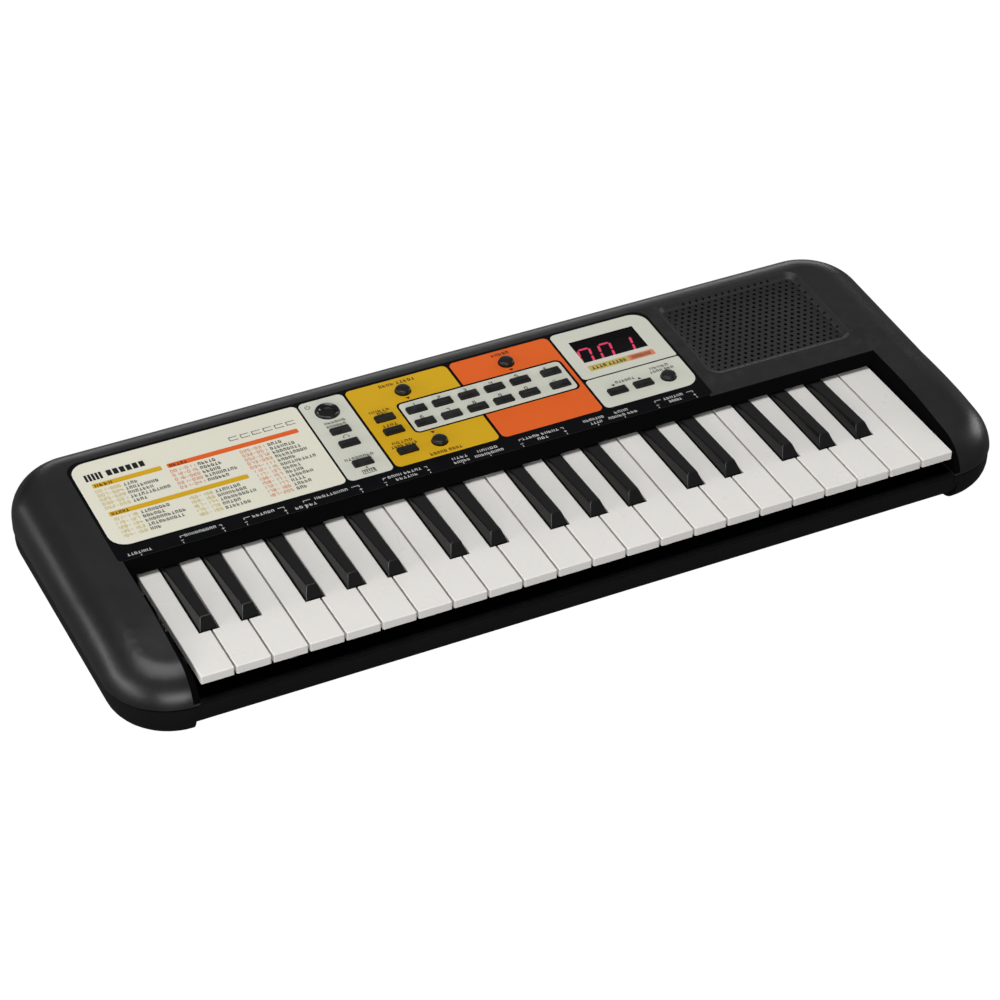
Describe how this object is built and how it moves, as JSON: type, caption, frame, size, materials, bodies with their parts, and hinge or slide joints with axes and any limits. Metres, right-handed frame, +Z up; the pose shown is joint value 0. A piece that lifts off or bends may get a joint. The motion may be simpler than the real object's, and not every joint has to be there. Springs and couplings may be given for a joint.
{
  "type": "toy electronic keyboard",
  "caption": "Portable electronic keyboard with mini keys, a coloured control panel with push buttons, a red digit display and a built-in loudspeaker, in a rounded dark case.",
  "frame": {"origin": "centre of the footprint at the level of the feet", "axes": "+X from the bass keys to the treble keys, +Y away from the player, +Z up"},
  "size_m": [0.506, 0.2008, 0.0556],
  "materials": {
    "case": "fine satin texture",
    "panel": "printed sheet, satin",
    "smoked_lens": "smoked, gloss",
    "display": "dark, with red segments",
    "circuit_board": "lacquered board",
    "contact_rubber": "silicone",
    "frame_plastic": "moulded",
    "speaker_metal": "dark",
    "cells": "plain sleeve",
    "foot_rubber": "matt",
    "screw_steel": "plated",
    "button": "satin black",
    "gloss_button": "high gloss",
    "white_key": "semi gloss",
    "black_key": "semi gloss"
  },
  "bodies": {
    "case": {"upper_case": "case", "speaker_grille": "case", "lower_case": "case", "panel_sheet": "panel", "display_window": "smoked_lens", "display_module": "display", "main_board": "circuit_board", "key_contact_board": "circuit_board", "contact_rubber": "contact_rubber", "key_frame": "frame_plastic", "speaker": "speaker_metal", "battery_set": "cells", "rubber_feet": "foot_rubber", "screws": "screw_steel"},
    "battery_door": {"battery_door": "case"},
    "power_button": {"power_button": "gloss_button"},
    "style_button": {"style_button": "button"},
    "start_button": {"start_button": "button"},
    "voice_button": {"voice_button": "button"},
    "instrument_button": {"instrument_button": "button"},
    "number_buttons": {"number_buttons": "button"},
    "side_buttons": {"side_buttons": "button"},
    "octave_buttons": {"octave_buttons": "button"},
    "white_key_01": {"white_key_01": "white_key"},
    "white_key_02": {"white_key_02": "white_key"},
    "white_key_03": {"white_key_03": "white_key"},
    "white_key_04": {"white_key_04": "white_key"},
    "white_key_05": {"white_key_05": "white_key"},
    "white_key_06": {"white_key_06": "white_key"},
    "white_key_07": {"white_key_07": "white_key"},
    "white_key_08": {"white_key_08": "white_key"},
    "white_key_09": {"white_key_09": "white_key"},
    "white_key_10": {"white_key_10": "white_key"},
    "white_key_11": {"white_key_11": "white_key"},
    "white_key_12": {"white_key_12": "white_key"},
    "white_key_13": {"white_key_13": "white_key"},
    "white_key_14": {"white_key_14": "white_key"},
    "white_key_15": {"white_key_15": "white_key"},
    "white_key_16": {"white_key_16": "white_key"},
    "white_key_17": {"white_key_17": "white_key"},
    "white_key_18": {"white_key_18": "white_key"},
    "white_key_19": {"white_key_19": "white_key"},
    "white_key_20": {"white_key_20": "white_key"},
    "white_key_21": {"white_key_21": "white_key"},
    "white_key_22": {"white_key_22": "white_key"},
    "black_key_01": {"black_key_01": "black_key"},
    "black_key_02": {"black_key_02": "black_key"},
    "black_key_03": {"black_key_03": "black_key"},
    "black_key_04": {"black_key_04": "black_key"},
    "black_key_05": {"black_key_05": "black_key"},
    "black_key_06": {"black_key_06": "black_key"},
    "black_key_07": {"black_key_07": "black_key"},
    "black_key_08": {"black_key_08": "black_key"},
    "black_key_09": {"black_key_09": "black_key"},
    "black_key_10": {"black_key_10": "black_key"},
    "black_key_11": {"black_key_11": "black_key"},
    "black_key_12": {"black_key_12": "black_key"},
    "black_key_13": {"black_key_13": "black_key"},
    "black_key_14": {"black_key_14": "black_key"},
    "black_key_15": {"black_key_15": "black_key"}
  },
  "joints": [
    {"name": "white_key_01_press", "type": "hinge", "parent": "case", "child": "white_key_01", "pos_m": [0, 0.024, 0.0332], "axis": [1, 0, 0], "range_deg": [0, 2.2]},
    {"name": "white_key_02_press", "type": "hinge", "parent": "case", "child": "white_key_02", "pos_m": [0, 0.024, 0.0332], "axis": [1, 0, 0], "range_deg": [0, 2.2]},
    {"name": "white_key_03_press", "type": "hinge", "parent": "case", "child": "white_key_03", "pos_m": [0, 0.024, 0.0332], "axis": [1, 0, 0], "range_deg": [0, 2.2]},
    {"name": "white_key_04_press", "type": "hinge", "parent": "case", "child": "white_key_04", "pos_m": [0, 0.024, 0.0332], "axis": [1, 0, 0], "range_deg": [0, 2.2]},
    {"name": "white_key_05_press", "type": "hinge", "parent": "case", "child": "white_key_05", "pos_m": [0, 0.024, 0.0332], "axis": [1, 0, 0], "range_deg": [0, 2.2]},
    {"name": "white_key_06_press", "type": "hinge", "parent": "case", "child": "white_key_06", "pos_m": [0, 0.024, 0.0332], "axis": [1, 0, 0], "range_deg": [0, 2.2]},
    {"name": "white_key_07_press", "type": "hinge", "parent": "case", "child": "white_key_07", "pos_m": [0, 0.024, 0.0332], "axis": [1, 0, 0], "range_deg": [0, 2.2]},
    {"name": "white_key_08_press", "type": "hinge", "parent": "case", "child": "white_key_08", "pos_m": [0, 0.024, 0.0332], "axis": [1, 0, 0], "range_deg": [0, 2.2]},
    {"name": "white_key_09_press", "type": "hinge", "parent": "case", "child": "white_key_09", "pos_m": [0, 0.024, 0.0332], "axis": [1, 0, 0], "range_deg": [0, 2.2]},
    {"name": "white_key_10_press", "type": "hinge", "parent": "case", "child": "white_key_10", "pos_m": [0, 0.024, 0.0332], "axis": [1, 0, 0], "range_deg": [0, 2.2]},
    {"name": "white_key_11_press", "type": "hinge", "parent": "case", "child": "white_key_11", "pos_m": [0, 0.024, 0.0332], "axis": [1, 0, 0], "range_deg": [0, 2.2]},
    {"name": "white_key_12_press", "type": "hinge", "parent": "case", "child": "white_key_12", "pos_m": [0, 0.024, 0.0332], "axis": [1, 0, 0], "range_deg": [0, 2.2]},
    {"name": "white_key_13_press", "type": "hinge", "parent": "case", "child": "white_key_13", "pos_m": [0, 0.024, 0.0332], "axis": [1, 0, 0], "range_deg": [0, 2.2]},
    {"name": "white_key_14_press", "type": "hinge", "parent": "case", "child": "white_key_14", "pos_m": [0, 0.024, 0.0332], "axis": [1, 0, 0], "range_deg": [0, 2.2]},
    {"name": "white_key_15_press", "type": "hinge", "parent": "case", "child": "white_key_15", "pos_m": [0, 0.024, 0.0332], "axis": [1, 0, 0], "range_deg": [0, 2.2]},
    {"name": "white_key_16_press", "type": "hinge", "parent": "case", "child": "white_key_16", "pos_m": [0, 0.024, 0.0332], "axis": [1, 0, 0], "range_deg": [0, 2.2]},
    {"name": "white_key_17_press", "type": "hinge", "parent": "case", "child": "white_key_17", "pos_m": [0, 0.024, 0.0332], "axis": [1, 0, 0], "range_deg": [0, 2.2]},
    {"name": "white_key_18_press", "type": "hinge", "parent": "case", "child": "white_key_18", "pos_m": [0, 0.024, 0.0332], "axis": [1, 0, 0], "range_deg": [0, 2.2]},
    {"name": "white_key_19_press", "type": "hinge", "parent": "case", "child": "white_key_19", "pos_m": [0, 0.024, 0.0332], "axis": [1, 0, 0], "range_deg": [0, 2.2]},
    {"name": "white_key_20_press", "type": "hinge", "parent": "case", "child": "white_key_20", "pos_m": [0, 0.024, 0.0332], "axis": [1, 0, 0], "range_deg": [0, 2.2]},
    {"name": "white_key_21_press", "type": "hinge", "parent": "case", "child": "white_key_21", "pos_m": [0, 0.024, 0.0332], "axis": [1, 0, 0], "range_deg": [0, 2.2]},
    {"name": "white_key_22_press", "type": "hinge", "parent": "case", "child": "white_key_22", "pos_m": [0, 0.024, 0.0332], "axis": [1, 0, 0], "range_deg": [0, 2.2]},
    {"name": "black_key_01_press", "type": "hinge", "parent": "case", "child": "black_key_01", "pos_m": [0, 0.024, 0.0332], "axis": [1, 0, 0], "range_deg": [0, 2.2]},
    {"name": "black_key_02_press", "type": "hinge", "parent": "case", "child": "black_key_02", "pos_m": [0, 0.024, 0.0332], "axis": [1, 0, 0], "range_deg": [0, 2.2]},
    {"name": "black_key_03_press", "type": "hinge", "parent": "case", "child": "black_key_03", "pos_m": [0, 0.024, 0.0332], "axis": [1, 0, 0], "range_deg": [0, 2.2]},
    {"name": "black_key_04_press", "type": "hinge", "parent": "case", "child": "black_key_04", "pos_m": [0, 0.024, 0.0332], "axis": [1, 0, 0], "range_deg": [0, 2.2]},
    {"name": "black_key_05_press", "type": "hinge", "parent": "case", "child": "black_key_05", "pos_m": [0, 0.024, 0.0332], "axis": [1, 0, 0], "range_deg": [0, 2.2]},
    {"name": "black_key_06_press", "type": "hinge", "parent": "case", "child": "black_key_06", "pos_m": [0, 0.024, 0.0332], "axis": [1, 0, 0], "range_deg": [0, 2.2]},
    {"name": "black_key_07_press", "type": "hinge", "parent": "case", "child": "black_key_07", "pos_m": [0, 0.024, 0.0332], "axis": [1, 0, 0], "range_deg": [0, 2.2]},
    {"name": "black_key_08_press", "type": "hinge", "parent": "case", "child": "black_key_08", "pos_m": [0, 0.024, 0.0332], "axis": [1, 0, 0], "range_deg": [0, 2.2]},
    {"name": "black_key_09_press", "type": "hinge", "parent": "case", "child": "black_key_09", "pos_m": [0, 0.024, 0.0332], "axis": [1, 0, 0], "range_deg": [0, 2.2]},
    {"name": "black_key_10_press", "type": "hinge", "parent": "case", "child": "black_key_10", "pos_m": [0, 0.024, 0.0332], "axis": [1, 0, 0], "range_deg": [0, 2.2]},
    {"name": "black_key_11_press", "type": "hinge", "parent": "case", "child": "black_key_11", "pos_m": [0, 0.024, 0.0332], "axis": [1, 0, 0], "range_deg": [0, 2.2]},
    {"name": "black_key_12_press", "type": "hinge", "parent": "case", "child": "black_key_12", "pos_m": [0, 0.024, 0.0332], "axis": [1, 0, 0], "range_deg": [0, 2.2]},
    {"name": "black_key_13_press", "type": "hinge", "parent": "case", "child": "black_key_13", "pos_m": [0, 0.024, 0.0332], "axis": [1, 0, 0], "range_deg": [0, 2.2]},
    {"name": "black_key_14_press", "type": "hinge", "parent": "case", "child": "black_key_14", "pos_m": [0, 0.024, 0.0332], "axis": [1, 0, 0], "range_deg": [0, 2.2]},
    {"name": "black_key_15_press", "type": "hinge", "parent": "case", "child": "black_key_15", "pos_m": [0, 0.024, 0.0332], "axis": [1, 0, 0], "range_deg": [0, 2.2]},
    {"name": "power_button_press", "type": "slide", "parent": "case", "child": "power_button", "axis": [0, 0.0436, -0.999], "range_m": [0, 0.0008]},
    {"name": "style_button_press", "type": "slide", "parent": "case", "child": "style_button", "axis": [0, 0.0436, -0.999], "range_m": [0, 0.0008]},
    {"name": "start_button_press", "type": "slide", "parent": "case", "child": "start_button", "axis": [0, 0.0436, -0.999], "range_m": [0, 0.0008]},
    {"name": "voice_button_press", "type": "slide", "parent": "case", "child": "voice_button", "axis": [0, 0.0436, -0.999], "range_m": [0, 0.0008]},
    {"name": "instrument_button_press", "type": "slide", "parent": "case", "child": "instrument_button", "axis": [0, 0.0436, -0.999], "range_m": [0, 0.0008]},
    {"name": "number_buttons_press", "type": "slide", "parent": "case", "child": "number_buttons", "axis": [0, 0.0436, -0.999], "range_m": [0, 0.0008]},
    {"name": "side_buttons_press", "type": "slide", "parent": "case", "child": "side_buttons", "axis": [0, 0.0436, -0.999], "range_m": [0, 0.0008]},
    {"name": "octave_buttons_press", "type": "slide", "parent": "case", "child": "octave_buttons", "axis": [0, 0.0436, -0.999], "range_m": [0, 0.0008]},
    {"name": "battery_door_slide", "type": "slide", "parent": "case", "child": "battery_door", "axis": [0, 1, 0], "range_m": [0, 0.042]}
  ]
}
